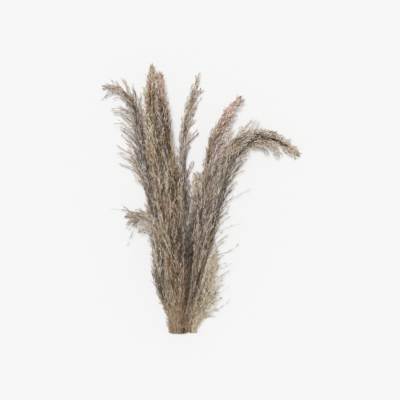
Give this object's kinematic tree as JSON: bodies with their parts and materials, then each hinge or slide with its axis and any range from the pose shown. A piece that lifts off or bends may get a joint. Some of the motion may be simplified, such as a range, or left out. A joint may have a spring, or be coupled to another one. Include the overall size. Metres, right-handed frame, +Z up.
{
  "type": "bundle of pampas grass",
  "caption": "Bundle of dried pampas grass lying flat: cut stems tied close to their straight-cut ends, with long feathery plumes that fan out and arch over at both sides.",
  "frame": {"origin": "on the surface that the bundle lies on, under the centre of its box", "axes": "+Y along the stems from the cut ends to the tips, +X to the side where the right plume droops over, +Z up from the surface"},
  "size_m": [0.517, 0.6934, 0.1142],
  "materials": {
    "straw_stem": "matte",
    "raffia": "matte",
    "left_arching_fluff": "matte",
    "low_left_bent_fluff": "matte",
    "tall_left_fluff": "matte",
    "tall_right_fluff": "matte",
    "thin_middle_fluff": "matte",
    "short_middle_fluff": "matte",
    "rosy_right_fluff": "matte",
    "right_drooping_fluff": "matte",
    "low_right_short_fluff": "matte"
  },
  "bodies": {
    "root": {"left_arching_plume": "left_arching_fluff", "left_arching_stem": "straw_stem", "low_left_bent_plume": "low_left_bent_fluff", "low_left_bent_stem": "straw_stem", "tall_left_plume": "tall_left_fluff", "tall_left_stem": "straw_stem", "tall_right_plume": "tall_right_fluff", "tall_right_stem": "straw_stem", "thin_middle_plume": "thin_middle_fluff", "thin_middle_stem": "straw_stem", "short_middle_plume": "short_middle_fluff", "short_middle_stem": "straw_stem", "rosy_right_plume": "rosy_right_fluff", "rosy_right_stem": "straw_stem", "right_drooping_plume": "right_drooping_fluff", "right_drooping_stem": "straw_stem", "low_right_short_plume": "low_right_short_fluff", "low_right_short_stem": "straw_stem", "raffia_tie": "raffia"}
  },
  "joints": []
}
